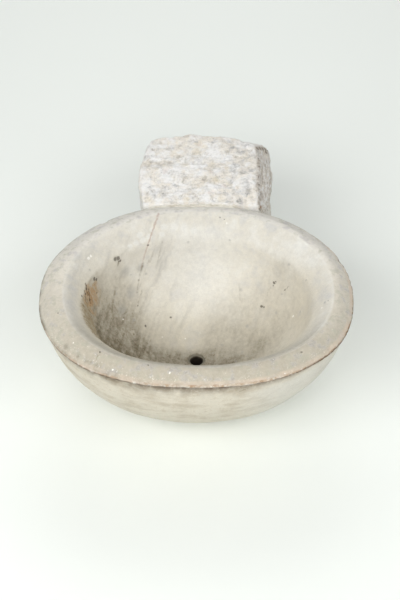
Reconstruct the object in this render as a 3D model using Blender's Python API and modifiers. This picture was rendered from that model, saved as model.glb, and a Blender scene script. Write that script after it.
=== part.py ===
"""Oval marble wall basin on a rough tail stone, with a lead-lined drain.

The bowl and the tail are two stones. A bed of lime mortar fills the joint between them, and two square iron
dowels, run in with lead in both stones, carry the bowl on the tail, which is built into a wall. The drain
hole in the bowl's floor is lined with a lead sleeve that is bedded in putty.

Metres, +Z up. The front of the bowl faces -Y. The origin is under the middle of the whole part, on the floor.
"""

import math

import bmesh
import bpy
from mathutils import Matrix, Vector, noise

# Bowl: plan, height and section
RIM_LENGTH = 0.540
RIM_DEPTH = 0.450
FLOOR_THICKNESS = 0.050
HOLLOW_DEPTH = 0.182
RIM_WIDTH = 0.036
RIM_RISE = 0.016
RIM_CROWN = 1.3
CREST_WIDTH = 0.007
SHOULDER_WIDTH = 0.037
SHOULDER_DROP = 0.037
LIP_RADIUS = 0.005
LIP_OVERHANG = 0.004
LIP_GROOVE = 0.002
LIP_UNDERSIDE_ANGLE = -60
LIP_TOP_ANGLE = 58
FOOT_LENGTH = 0.160
FOOT_DEPTH = 0.134

# Neck: the stone left on the bowl's back, down which the joint is cut
NECK_WIDTH = 0.180
NECK_UNDERSIDE = 0.028
NECK_TOP_DROP = 0.006
NECK_WALL = 0.013
NECK_ROUNDING = 0.008
JOINT_INSET = 0.015

# Mortar bed in the joint
MORTAR_THICKNESS = 0.006
MORTAR_RECESS = 0.003

# Tail stone
TAIL_LEFT = 0.104
TAIL_RIGHT = 0.113
TAIL_LENGTH = 0.189
TAIL_RISE = 0.004
LEFT_SIDE_BOW = 0.007
FLANK_WIDTH = 0.027
FLANK_DROP = 0.032
BACK_EDGE_BREAK = 0.006
BACK_LEFT_BREAK = 0.020
BACK_RIGHT_BREAK = 0.040
BACK_BREAK_HEIGHT = 0.075
LEFT_CORNER_BREAK = 0.020
BACK_CORNER_POWER = 4
LEFT_CORNER_POWER = 6
HEWN_DEPTH = 0.007
HEWN_SIZE = 0.045
HEWN_SEED = 7

# Dowels, and the lead round them
DOWEL_EDGE = 0.035
DOWEL_DROP = 0.072
DOWEL_SIDE = 0.018
DOWEL_IN_BOWL = 0.042
DOWEL_IN_TAIL = 0.090
DOWEL_CHAMFER = 0.002
LEAD_WALL = 0.005
LEAD_END = 0.006

# Drain
BORE_RADIUS = 0.0115
SLEEVE_WALL = 0.0022
SLEEVE_FLANGE = 0.0025
SLEEVE_EDGE = 0.0008
SLEEVE_SETBACK = 0.0008
PUTTY_WALL = 0.0015

# Gap left between pieces that touch
CLEARANCE = 0.0003

# Facets
OVAL_SEGMENTS = 64
BODY_STEPS = 10
LIP_STEPS = 5
RIM_STEPS = 4
CREST_STEPS = 3
HOLLOW_STEPS = 10
ROUND_SEGMENTS = 32
ROUNDING_SEGMENTS = 3
TAIL_CUTS = 9
SHARP_ANGLE = 35
WELD_DISTANCE = 0.00001

# Places that follow from the sizes
RIM_EDGE_Z = FLOOR_THICKNESS + HOLLOW_DEPTH
CREST_Z = RIM_EDGE_Z + RIM_RISE
HOLLOW_TOP_Z = CREST_Z - SHOULDER_DROP
BODY_TOP_Z = RIM_EDGE_Z - 2 * LIP_RADIUS - LIP_GROOVE
TAIL_TOP_Z = CREST_Z + TAIL_RISE
NECK_TOP_Z = RIM_EDGE_Z - NECK_TOP_DROP
DOWEL_Z = RIM_EDGE_Z - DOWEL_DROP
HOLLOW_INSET = RIM_WIDTH + SHOULDER_WIDTH
JOINT_REACH = RIM_DEPTH / 2 - JOINT_INSET
TAIL_REACH = JOINT_REACH + MORTAR_THICKNESS
BOWL_Y = (RIM_DEPTH / 2 - TAIL_REACH - TAIL_LENGTH) / 2
JOINT_Y = BOWL_Y + JOINT_REACH
TAIL_Y = BOWL_Y + TAIL_REACH
SOCKET_RADIUS = DOWEL_SIDE / math.sqrt(2) + LEAD_WALL
SOCKET_FRONT = -DOWEL_IN_BOWL - LEAD_END
SOCKET_BACK = MORTAR_THICKNESS + DOWEL_IN_TAIL + LEAD_END
SLEEVE_RADIUS = BORE_RADIUS + SLEEVE_WALL
PUTTY_RADIUS = SLEEVE_RADIUS + CLEARANCE + PUTTY_WALL
DRAIN_HOLE_RADIUS = PUTTY_RADIUS + CLEARANCE
SLEEVE_BOTTOM = SLEEVE_SETBACK
SLEEVE_TOP = FLOOR_THICKNESS - SLEEVE_SETBACK

# Finishes: colour, roughness and metallic value
FINISHES = {
    "marble": ((0.63, 0.58, 0.50), 0.45, 0.0),
    "rough_stone": ((0.70, 0.67, 0.62), 0.85, 0.0),
    "lime_mortar": ((0.68, 0.64, 0.56), 0.90, 0.0),
    "lead": ((0.26, 0.27, 0.28), 0.55, 0.9),
    "wrought_iron": ((0.16, 0.09, 0.06), 0.75, 0.7),
    "putty": ((0.45, 0.36, 0.26), 0.80, 0.0),
}


def clear_scene():
    for thing in list(bpy.data.objects):
        bpy.data.objects.remove(thing, do_unlink=True)


def make_collection(name):
    collection = bpy.data.collections.new(name)
    bpy.context.scene.collection.children.link(collection)
    return collection


def make_material(name):
    colour, roughness, metallic = FINISHES[name]
    material = bpy.data.materials.new(name)
    material.use_nodes = True
    shader = material.node_tree.nodes["Principled BSDF"]
    shader.inputs["Base Color"].default_value = (*colour, 1.0)
    shader.inputs["Roughness"].default_value = roughness
    shader.inputs["Metallic"].default_value = metallic
    return material


def make_object(name, builder, place):
    """An object at a place, with a bmesh as its mesh and all the faces pointing out."""
    bmesh.ops.recalc_face_normals(builder, faces=builder.faces[:])
    mesh = bpy.data.meshes.new(name)
    builder.to_mesh(mesh)
    builder.free()
    thing = bpy.data.objects.new(name, mesh)
    thing.location = place
    return thing


def shade_round(thing):
    thing.data.shade_smooth()
    thing.data.set_sharp_from_angle(angle=math.radians(SHARP_ANGLE))


def add_bevel(thing, width, segments):
    bevel = thing.modifiers.new("rounded edges", "BEVEL")
    bevel.width = width
    bevel.segments = segments
    bevel.limit_method = "ANGLE"


def add_boolean(thing, other, operation):
    boolean = thing.modifiers.new(f"{operation.lower()} {other.name}", "BOOLEAN")
    boolean.operation = operation
    boolean.object = other


def make_box(name, low, high, place):
    """A box between two corners, which are measured from the object's own origin."""
    middle = (Vector(low) + Vector(high)) / 2
    size = Vector(high) - Vector(low)
    builder = bmesh.new()
    bmesh.ops.create_cube(builder, size=1, matrix=Matrix.LocRotScale(middle, None, size))
    return make_object(name, builder, place)


def make_rod(name, radius, start, end, place):
    """A cylinder along Y, whose two ends are measured from the object's own origin."""
    builder = bmesh.new()
    lie_down = Matrix.Rotation(math.pi / 2, 4, "X")
    bmesh.ops.create_cone(
        builder,
        cap_ends=True,
        segments=ROUND_SEGMENTS,
        radius1=radius,
        radius2=radius,
        depth=end - start,
        matrix=Matrix.Translation((0, (start + end) / 2, 0)) @ lie_down,
    )
    rod = make_object(name, builder, place)
    shade_round(rod)
    return rod


def make_turned(name, profile, place):
    """A closed profile of (radius, height) points turned about Z. Its outer side runs down."""
    builder = bmesh.new()
    points = [builder.verts.new((radius, 0, height)) for radius, height in profile]
    for point, following in zip(points, points[1:] + points[:1]):
        builder.edges.new((point, following))
    turned = make_object(name, builder, place)
    screw = turned.modifiers.new("turned", "SCREW")
    screw.steps = ROUND_SEGMENTS
    screw.render_steps = ROUND_SEGMENTS
    screw.use_merge_vertices = True
    screw.merge_threshold = WELD_DISTANCE
    return turned


def inset_ring(inset, height):
    """An oval at one height, the same distance inside the rim's outline all the way round."""
    return RIM_LENGTH / 2 - inset, RIM_DEPTH / 2 - inset, height


def body_rings():
    """The outside of the bowl, part of an ellipsoid, from its flat foot up to the groove under the lip."""
    top_x, top_y, _ = inset_ring(LIP_OVERHANG, BODY_TOP_Z)
    full_depth_x = BODY_TOP_Z / math.sqrt(1 - (FOOT_LENGTH / 2 / top_x) ** 2)
    full_depth_y = BODY_TOP_Z / math.sqrt(1 - (FOOT_DEPTH / 2 / top_y) ** 2)
    rings = []
    for step in range(BODY_STEPS + 1):
        drop = BODY_TOP_Z * math.cos(math.pi / 2 * step / BODY_STEPS)
        half_length = top_x * math.sqrt(1 - (drop / full_depth_x) ** 2)
        half_depth = top_y * math.sqrt(1 - (drop / full_depth_y) ** 2)
        rings.append((half_length, half_depth, BODY_TOP_Z - drop))
    return rings


def lip_ring(angle):
    """A ring on the rounded outer edge of the rim. The angle is 0 at its widest and 90 on top."""
    inset = LIP_RADIUS * (1 - math.cos(math.radians(angle)))
    drop = LIP_RADIUS * (1 - math.sin(math.radians(angle)))
    return inset_ring(inset, RIM_EDGE_Z - drop)


def lip_rings():
    turn = LIP_TOP_ANGLE - LIP_UNDERSIDE_ANGLE
    return [lip_ring(LIP_UNDERSIDE_ANGLE + turn * step / LIP_STEPS) for step in range(LIP_STEPS + 1)]


def rim_rings():
    """The rim's upper face, slightly crowned, which rises inwards from the lip to the crest."""
    lip_x, _, lip_z = lip_ring(LIP_TOP_ANGLE)
    start = RIM_LENGTH / 2 - lip_x
    rings = []
    for step in range(1, RIM_STEPS + 1):
        share = step / RIM_STEPS
        rise = 1 - (1 - share) ** RIM_CROWN
        rings.append(inset_ring(start + (RIM_WIDTH - start) * share, lip_z + (CREST_Z - lip_z) * rise))
    return rings


def crest_rings():
    """The round crest, which turns down into the shoulder. The shoulder then runs straight to the hollow."""
    slope = SHOULDER_DROP / SHOULDER_WIDTH
    rings = []
    for step in range(1, CREST_STEPS + 1):
        reach = CREST_WIDTH * step / CREST_STEPS
        rings.append(inset_ring(RIM_WIDTH + reach, CREST_Z - slope * reach**2 / (2 * CREST_WIDTH)))
    return rings


def hollow_rings():
    """The hollow, half an ellipsoid, from the foot of the shoulder down to the drain hole."""
    top_x, top_y, top_z = inset_ring(HOLLOW_INSET, HOLLOW_TOP_Z)
    depth = top_z - FLOOR_THICKNESS
    rings = []
    for step in range(HOLLOW_STEPS):
        angle = math.pi / 2 * step / HOLLOW_STEPS
        rings.append((top_x * math.cos(angle), top_y * math.cos(angle), top_z - depth * math.sin(angle)))
    return rings


def make_bowl_shell():
    """Ovals from the foot, over the rim and down the hollow, closed on themselves through the drain hole."""
    hole_below = (DRAIN_HOLE_RADIUS, DRAIN_HOLE_RADIUS, 0)
    hole_above = (DRAIN_HOLE_RADIUS, DRAIN_HOLE_RADIUS, FLOOR_THICKNESS)
    outside = [hole_below, *body_rings(), *lip_rings()]
    inside = [*rim_rings(), *crest_rings(), *hollow_rings(), hole_above]
    builder = bmesh.new()
    loops = []
    for half_length, half_depth, height in outside + inside:
        oval = Matrix.LocRotScale(Vector((0, 0, height)), None, Vector((half_length, half_depth, 1)))
        circle = bmesh.ops.create_circle(builder, segments=OVAL_SEGMENTS, radius=1, matrix=oval)
        loops.append(circle["verts"])
    for lower, upper in zip(loops, loops[1:] + loops[:1]):
        for i in range(OVAL_SEGMENTS):
            j = (i + 1) % OVAL_SEGMENTS
            builder.faces.new((lower[i], lower[j], upper[j], upper[i]))
    shell = make_object("basin_bowl", builder, (0, BOWL_Y, 0))
    shade_round(shell)
    return shell


def make_neck():
    """The neck: a profile in the YZ plane that starts inside the bowl's back wall, drawn out along X.

    Its front runs down behind the hollow to half the hollow's depth, then forward under the hollow's floor.
    """
    _, hollow_back, _ = inset_ring(HOLLOW_INSET, HOLLOW_TOP_Z)
    front = hollow_back + NECK_WALL
    back = RIM_DEPTH / 2 + NECK_ROUNDING
    profile = (
        (front, NECK_TOP_Z),
        (front, FLOOR_THICKNESS + HOLLOW_DEPTH / 2),
        (FOOT_DEPTH / 2, NECK_UNDERSIDE),
        (back, NECK_UNDERSIDE),
        (back, NECK_TOP_Z),
    )
    builder = bmesh.new()
    face = builder.faces.new([builder.verts.new((-NECK_WIDTH / 2, y, z)) for y, z in profile])
    drawn = bmesh.ops.extrude_face_region(builder, geom=[face])
    far_side = [part for part in drawn["geom"] if isinstance(part, bmesh.types.BMVert)]
    bmesh.ops.translate(builder, verts=far_side, vec=(NECK_WIDTH, 0, 0))
    neck = make_object("neck", builder, (0, BOWL_Y, 0))
    add_bevel(neck, NECK_ROUNDING, ROUNDING_SEGMENTS)
    return neck


def make_bowl(neck, behind_joint, sockets):
    """The bowl stone: the shell and its neck, with a socket for each dowel, cut flat at the joint."""
    bowl = make_bowl_shell()
    add_boolean(bowl, neck, "UNION")
    for socket in sockets:
        add_boolean(bowl, socket, "DIFFERENCE")
    add_boolean(bowl, behind_joint, "DIFFERENCE")
    return bowl


def tail_point(across, along, up):
    """A point of the tail stone, from shares of its width, length and height that run from 0 to 1.

    The right flank slopes out below the top, and the back's top edge and corners are broken off. The joint
    face, the bed and the lower back are flat, and the rest is rough hewn.
    """
    height = TAIL_TOP_Z * up
    right = TAIL_RIGHT + FLANK_WIDTH * min(1, (TAIL_TOP_Z - height) / FLANK_DROP)
    broken = max(0, 1 - (TAIL_TOP_Z - height) / BACK_BREAK_HEIGHT)
    left = -TAIL_LEFT + LEFT_SIDE_BOW * (1 - along) ** 2
    left += LEFT_CORNER_BREAK * broken * along**LEFT_CORNER_POWER
    corner = abs(2 * across - 1) ** BACK_CORNER_POWER
    corner_break = BACK_LEFT_BREAK if across < 0.5 else BACK_RIGHT_BREAK
    length = TAIL_LENGTH - (BACK_EDGE_BREAK + corner_break * corner) * broken**2
    point = Vector((left + (right - left) * across, length * along, height))
    from_back = min(1, length * (1 - along) / HEWN_SIZE + broken)
    hewn = min(1, length * along / HEWN_SIZE) * min(1, height / HEWN_SIZE) * from_back
    return point + HEWN_DEPTH * hewn * noise.noise_vector(point / HEWN_SIZE)


def make_tail(sockets):
    noise.seed_set(HEWN_SEED)
    builder = bmesh.new()
    bmesh.ops.create_cube(builder, size=1, matrix=Matrix.Translation((0.5, 0.5, 0.5)))
    bmesh.ops.subdivide_edges(builder, edges=builder.edges[:], cuts=TAIL_CUTS, use_grid_fill=True)
    for corner in builder.verts:
        corner.co = tail_point(*corner.co)
    tail = make_object("tail_block", builder, (0, TAIL_Y, 0))
    for socket in sockets:
        add_boolean(tail, socket, "DIFFERENCE")
    return tail


def make_mortar(pockets):
    """The mortar bed between the two joint faces, raked back at its edges, with the dowels through it."""
    half_width = NECK_WIDTH / 2 - MORTAR_RECESS
    mortar = make_box(
        "joint_mortar",
        (-half_width, CLEARANCE, NECK_UNDERSIDE + MORTAR_RECESS),
        (half_width, MORTAR_THICKNESS - CLEARANCE, RIM_EDGE_Z - MORTAR_RECESS),
        (0, JOINT_Y, 0),
    )
    for pocket in pockets:
        add_boolean(mortar, pocket, "DIFFERENCE")
    return mortar


def make_dowel_shape(name, place, room):
    """A dowel's square bar, made larger all round by the room that is asked for."""
    half_side = DOWEL_SIDE / 2 + room
    front = -DOWEL_IN_BOWL - room
    back = MORTAR_THICKNESS + DOWEL_IN_TAIL + room
    return make_box(name, (-half_side, front, -half_side), (half_side, back, half_side), place)


def make_dowel(side, place):
    dowel = make_dowel_shape(f"dowel_{side}", place, 0)
    add_bevel(dowel, DOWEL_CHAMFER, 1)
    return dowel


def make_leads(side, place, pocket):
    """The two plugs of lead round a dowel, one in each stone, flush with the joint faces."""
    radius = SOCKET_RADIUS - CLEARANCE
    in_bowl = make_rod(f"lead_bowl_{side}", radius, SOCKET_FRONT + CLEARANCE, 0, place)
    in_tail = make_rod(f"lead_tail_{side}", radius, MORTAR_THICKNESS, SOCKET_BACK - CLEARANCE, place)
    add_boolean(in_bowl, pocket, "DIFFERENCE")
    add_boolean(in_tail, pocket, "DIFFERENCE")
    return in_bowl, in_tail


def make_drain_sleeve():
    """The lead sleeve in the drain hole, with its two ends dressed outwards over the putty."""
    profile = (
        (PUTTY_RADIUS, SLEEVE_TOP),
        (PUTTY_RADIUS, SLEEVE_TOP - SLEEVE_FLANGE),
        (SLEEVE_RADIUS, SLEEVE_TOP - SLEEVE_FLANGE),
        (SLEEVE_RADIUS, SLEEVE_BOTTOM + SLEEVE_FLANGE),
        (PUTTY_RADIUS, SLEEVE_BOTTOM + SLEEVE_FLANGE),
        (PUTTY_RADIUS, SLEEVE_BOTTOM),
        (BORE_RADIUS, SLEEVE_BOTTOM),
        (BORE_RADIUS, SLEEVE_TOP - SLEEVE_EDGE),
        (BORE_RADIUS + SLEEVE_EDGE, SLEEVE_TOP),
    )
    return make_turned("drain_sleeve", profile, (0, BOWL_Y, 0))


def make_drain_putty():
    """The putty round the sleeve, between its two dressed ends."""
    inner = SLEEVE_RADIUS + CLEARANCE
    top = SLEEVE_TOP - SLEEVE_FLANGE - CLEARANCE
    bottom = SLEEVE_BOTTOM + SLEEVE_FLANGE + CLEARANCE
    profile = ((PUTTY_RADIUS, top), (PUTTY_RADIUS, bottom), (inner, bottom), (inner, top))
    return make_turned("drain_putty", profile, (0, BOWL_Y, 0))


def dowel_places():
    """Where the dowels' axes cross the bowl's joint face, each set in from its side of the neck."""
    half = NECK_WIDTH / 2 - DOWEL_EDGE
    return {"left": (-half, JOINT_Y, DOWEL_Z), "right": (half, JOINT_Y, DOWEL_Z)}


def main():
    clear_scene()
    parts = make_collection("marble_basin")
    guides = make_collection("cutters")
    finishes = {name: make_material(name) for name in FINISHES}
    whole = bpy.data.objects.new("marble_basin_origin", None)
    parts.objects.link(whole)

    def keep(thing, finish):
        thing.data.materials.append(finishes[finish])
        thing.parent = whole
        parts.objects.link(thing)

    def keep_cutter(cutter):
        cutter.hide_render = True
        cutter.display_type = "WIRE"
        guides.objects.link(cutter)
        return cutter

    places = dowel_places()
    sockets = []
    pockets = {}
    for side, place in places.items():
        socket = make_rod(f"socket_{side}", SOCKET_RADIUS, SOCKET_FRONT, SOCKET_BACK, place)
        sockets.append(keep_cutter(socket))
        pockets[side] = keep_cutter(make_dowel_shape(f"pocket_{side}", place, CLEARANCE))
    neck = keep_cutter(make_neck())
    beyond = RIM_LENGTH + RIM_DEPTH
    behind_low = (-beyond, 0, -beyond)
    behind_high = (beyond, beyond, beyond)
    behind_joint = keep_cutter(make_box("behind_joint", behind_low, behind_high, (0, JOINT_Y, 0)))

    keep(make_bowl(neck, behind_joint, sockets), "marble")
    keep(make_tail(sockets), "rough_stone")
    keep(make_mortar(pockets.values()), "lime_mortar")
    for side, place in places.items():
        keep(make_dowel(side, place), "wrought_iron")
        for lead in make_leads(side, place, pockets[side]):
            keep(lead, "lead")
    keep(make_drain_sleeve(), "lead")
    keep(make_drain_putty(), "putty")


main()
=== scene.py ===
import math
from functools import reduce
from operator import or_

import bmesh
import bpy
import numpy as np
from mathutils import Matrix, Vector, noise
from mathutils.bvhtree import BVHTree


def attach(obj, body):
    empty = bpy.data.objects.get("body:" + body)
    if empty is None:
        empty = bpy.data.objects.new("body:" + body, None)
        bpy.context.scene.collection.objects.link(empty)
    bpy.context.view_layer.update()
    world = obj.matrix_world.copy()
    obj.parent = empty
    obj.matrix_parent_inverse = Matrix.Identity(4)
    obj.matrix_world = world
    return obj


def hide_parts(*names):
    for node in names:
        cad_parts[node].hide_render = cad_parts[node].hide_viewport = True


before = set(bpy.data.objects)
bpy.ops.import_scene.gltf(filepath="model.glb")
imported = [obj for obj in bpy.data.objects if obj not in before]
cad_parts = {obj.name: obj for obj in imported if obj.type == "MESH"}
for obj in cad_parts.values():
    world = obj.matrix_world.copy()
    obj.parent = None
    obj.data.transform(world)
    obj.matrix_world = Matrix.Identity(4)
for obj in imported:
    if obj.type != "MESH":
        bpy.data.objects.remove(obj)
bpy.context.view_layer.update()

scene = bpy.context.scene
scene.view_settings.view_transform = "Standard"
perMetre = 1000  # marks are sized in millimetres
print("frame:", len(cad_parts), "nodes")


def newPiece(name, data):
    piece = bpy.data.objects.new(name, data)
    scene.collection.objects.link(piece)
    return piece


# the camera stands where the photograph was taken from
shot = {
    "elevation": math.radians(46),
    "reach": 2.2,
    "aim": Vector((0.0064, -0.09, 0.2078)),
    "focal": 1268,  # in pixels
    "middle": (200, 300),  # of a picture of 400 by 600
    "sensor": 36,
}


def makeCamera():
    lens = bpy.data.cameras.new("camera")
    lens.sensor_fit, lens.sensor_height = "VERTICAL", shot["sensor"]
    lens.lens = shot["focal"] / (2 * shot["middle"][1]) * shot["sensor"]
    eye = newPiece("camera", lens)
    tilt = shot["elevation"]
    eye.location = shot["aim"] + shot["reach"] * Vector((0, -math.cos(tilt), math.sin(tilt)))
    eye.rotation_euler = (math.pi / 2 - tilt, 0, 0)
    scene.camera = eye
    return eye


camera = makeCamera()
bpy.context.view_layer.update()


def sight(tree, spot):  # where a stone shows at a pixel, or its edge if the pixel is just past it
    across, down = spot[0] - shot["middle"][0], shot["middle"][1] - spot[1]
    towards = camera.matrix_world.to_3x3() @ Vector((across, down, -shot["focal"]))
    hit = tree.ray_cast(camera.location, towards.normalized())[0]
    if hit is None:
        level = (bowl["rimEdge"] - camera.location.z) / towards.z
        hit = tree.find_nearest(camera.location + level * towards)[0]
    return hit


def meshPiece(name, points, faces):
    mesh = bpy.data.meshes.new(name)
    mesh.from_pydata(points, [], faces)
    return newPiece(name, mesh)


def formPiece(name, form):  # uses the form up
    mesh = bpy.data.meshes.new(name)
    form.to_mesh(mesh)
    form.free()
    return newPiece(name, mesh)


def combine(piece, others, operation):  # union with, or cut by, helpers that go afterwards
    for other in others:
        step = piece.modifiers.new("combine", "BOOLEAN")
        step.operation, step.object, step.solver = operation, other, "EXACT"
    bakeModifiers(piece)
    for other in others:
        bpy.data.objects.remove(other)


def bakeModifiers(piece):
    graph = bpy.context.evaluated_depsgraph_get()
    piece.data = bpy.data.meshes.new_from_object(piece.evaluated_get(graph))
    piece.modifiers.clear()


def corners(mesh, kind="co"):  # where the corners are, or which way they face
    flat = np.zeros(len(mesh.vertices) * 3, np.float32)
    mesh.vertices.foreach_get(kind, flat)
    return flat.reshape(-1, 3).astype(float)


def setMask(mesh, name, values):
    mask = mesh.attributes.get(name) or mesh.attributes.new(name, "FLOAT", "POINT")
    mask.data.foreach_set("value", np.asarray(values, np.float32))


def getMask(mesh, name):
    values = np.zeros(len(mesh.vertices), np.float32)
    mesh.attributes[name].data.foreach_get("value", values)
    return values.astype(float)


def waves(points, size, octaves, shift):  # noise of about -1 to 1 at each point
    moved = (points / size + shift).tolist()
    if octaves == 1:
        return np.array([noise.noise(p) for p in moved])
    return np.array([noise.fractal(p, 1.0, 2.0, octaves) for p in moved])


def ease(values, low, high):  # smooth step from 0 at low to 1 at high
    share = np.clip((values - low) / (high - low), 0, 1)
    return share * share * (3 - 2 * share)


def band(values, start, top, bottom, end):  # 0, up to 1, and down again
    return ease(values, start, top) * (1 - ease(values, bottom, end))


def patchy(points, level, swing, size, octaves, shift, low=0, high=1):  # noise as a mask
    return np.clip(level + swing * waves(points, size, octaves, shift), low, high)


def mix(first, second, share):
    return first + (second - first) * share


def rod(name, radius, start, end):  # a cylinder between two points, for cutting
    form = bmesh.new()
    start, end = Vector(start), Vector(end)
    axis = end - start
    place = Matrix.Translation((start + end) / 2) @ axis.to_track_quat("Z", "Y").to_matrix().to_4x4()
    size = {"segments": 64, "radius1": radius, "radius2": radius, "depth": axis.length}
    bmesh.ops.create_cone(form, cap_ends=True, matrix=place, **size)
    return formPiece(name, form)


def block(name, low, high):  # a box between two corners, for cutting
    form = bmesh.new()
    low, high = Vector(low), Vector(high)
    bmesh.ops.create_cube(form, size=1, matrix=Matrix.LocRotScale((low + high) / 2, None, high - low))
    return formPiece(name, form)


def fineCube(cuts):  # a cube from 0 to 1 with a grid on its sides, and its corners
    form = bmesh.new()
    bmesh.ops.create_cube(form, size=1, matrix=Matrix.Translation((0.5, 0.5, 0.5)))
    bmesh.ops.subdivide_edges(form, edges=form.edges[:], cuts=cuts, use_grid_fill=True)
    return form, np.array([corner.co for corner in form.verts])


def ringFaces(rings, segments):  # from each ring to the next, and from the last to the first
    here = np.arange(rings * segments).reshape(rings, segments)
    nextTurn, nextRing = np.roll(here, -1, 1), np.roll(here, -1, 0)
    return np.stack([here, nextTurn, np.roll(nextRing, -1, 1), nextRing], -1).reshape(-1, 4).tolist()


# the joint between the two stones, in metres, as the solids have it
joint = {
    "bowlFace": 0.12,
    "tailFace": 0.126,
    "rimReach": 0.096,  # how far to each side the rim reaches the joint
    "dowelX": 0.055,
    "dowelZ": 0.16,
    "dowelSide": 0.0186,
    "socketRadius": 0.01773,
    "socketEnds": (0.072, 0.222),
}


def sockets():
    made = []
    for side in (-1, 1):
        ends = [(side * joint["dowelX"], y, joint["dowelZ"]) for y in joint["socketEnds"]]
        made.append(rod(f"socket{side}", joint["socketRadius"], *ends))
    return made


# the oval bowl: its profile runs from the drain hole's lower edge out over the foot, the body,
# the lip, the rim and the shoulder, and down the hollow to the drain hole again
bowl = {
    "length": 0.54,
    "depth": 0.45,
    "centre": -0.09,
    "lipRadius": 0.005,
    "lipOverhang": 0.004,
    "lipAngles": (-60, 58),
    "rimEdge": 0.232,
    "crest": 0.248,
    "rimWidth": 0.036,
    "rimCrown": 1.3,
    "crestWidth": 0.007,
    "shoulder": 0.037,  # as wide as it is deep
    "floor": 0.05,
    "hollowLean": 13,  # how far round its curve the hollow's wall starts, in degrees
    "bodyTop": 0.22,
    "foot": (0.16, 0.134),
    "hole": 0.0158,
    "softness": 0.012,
    "segments": 480,
    "rings": {
        "foot": 6, "body": 42, "lip": 14, "rim": 30, "crest": 6, "shoulder": 16, "hollow": 76, "hole": 4,
    },
    "sway": (0.0011, 0.075),  # unevenness of hand work: height and size
    "ripple": (0.00035, 0.018),
    "tooling": (0.00022, 0.006),
    "frontPower": 2.3,  # the plan's front half is a little blunter than an oval
    "bluntShare": ((0, 1, 2, 2.3, 4, 5.5, 6.5, 7), (0, 0, 0.35, 1, 1, 0.8, 0.2, 0)),  # by stage
    "frontSetback": 0.0115,
    "setbackShare": ((1, 2, 3, 4), (0, 1, 1, 0)),
    "hollowShift": 0.0035,
    "shiftShare": ((3, 4, 6, 6.9), (0, 1, 1, 0)),
    "backWear": (0.003, 0.055, 0.03),  # the rim's wear against the tail: depth, half width, length
    "crumbs": (0.0014, 0.0105),  # of the lip's arris: depth and size
}
# marks on the bowl: where each shows in the photograph, its radius and its depth in mm
dents = (
    (117, 259, 6.5, 1.6), (119, 261, 4, 1), (95, 279, 3.6, 1.3), (87, 290, 3, 1.2), (90, 300, 3.4, 1.2),
    (97, 293, 2, 0.8), (82, 296, 2, 0.7), (171, 317, 2.4, 0.8), (145.5, 326, 2.8, 1), (274, 283, 2.8, 1),
    (262, 306.5, 3, 1.1), (286, 289, 2.2, 0.6), (148, 245.5, 2.4, 0.6), (146, 274, 2.8, 0.5),
    (102, 343, 3.2, 0.8), (226.5, 222, 3, 0.7), (220.5, 217, 2.6, 0.7), (242, 352, 2.6, 0.5),
    (247, 356, 2.4, 0.5), (301, 352, 3.2, 0.7),
)
lipChips = (
    (103, 220.5, 9, 2.6), (339, 260, 10, 2.4), (345, 271, 8, 2), (350, 284, 7, 1.2), (346, 315, 9, 1.4),
    (338, 334, 9, 2), (329, 346, 9, 1.8), (314, 358, 10, 1.8), (283, 372, 8, 1.5), (258, 378, 8, 1.5),
    (230, 381, 9, 1.3), (206, 382, 8, 1.5), (178, 380, 9, 1.6), (150, 377, 8, 1.3), (126, 371, 9, 1.6),
    (106, 363, 8, 1.2), (84, 349, 8, 1.2), (280, 221, 7, 0.8), (312, 237, 7, 1), (328, 249, 7, 1),
)


def insetRing(inset, height):
    return bowl["length"] / 2 - inset, bowl["depth"] / 2 - inset, height


def lipRing(angle):
    turn, radius = math.radians(angle), bowl["lipRadius"]
    return insetRing(radius * (1 - math.cos(turn)), bowl["rimEdge"] - radius * (1 - math.sin(turn)))


def ovalShares(points, inset=0):  # how far right and back of the bowl's middle, 1 at an oval inside the rim
    long, deep, _ = insetRing(inset, 0)
    return points[:, 0] / long, (points[:, 1] - bowl["centre"]) / deep


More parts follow.
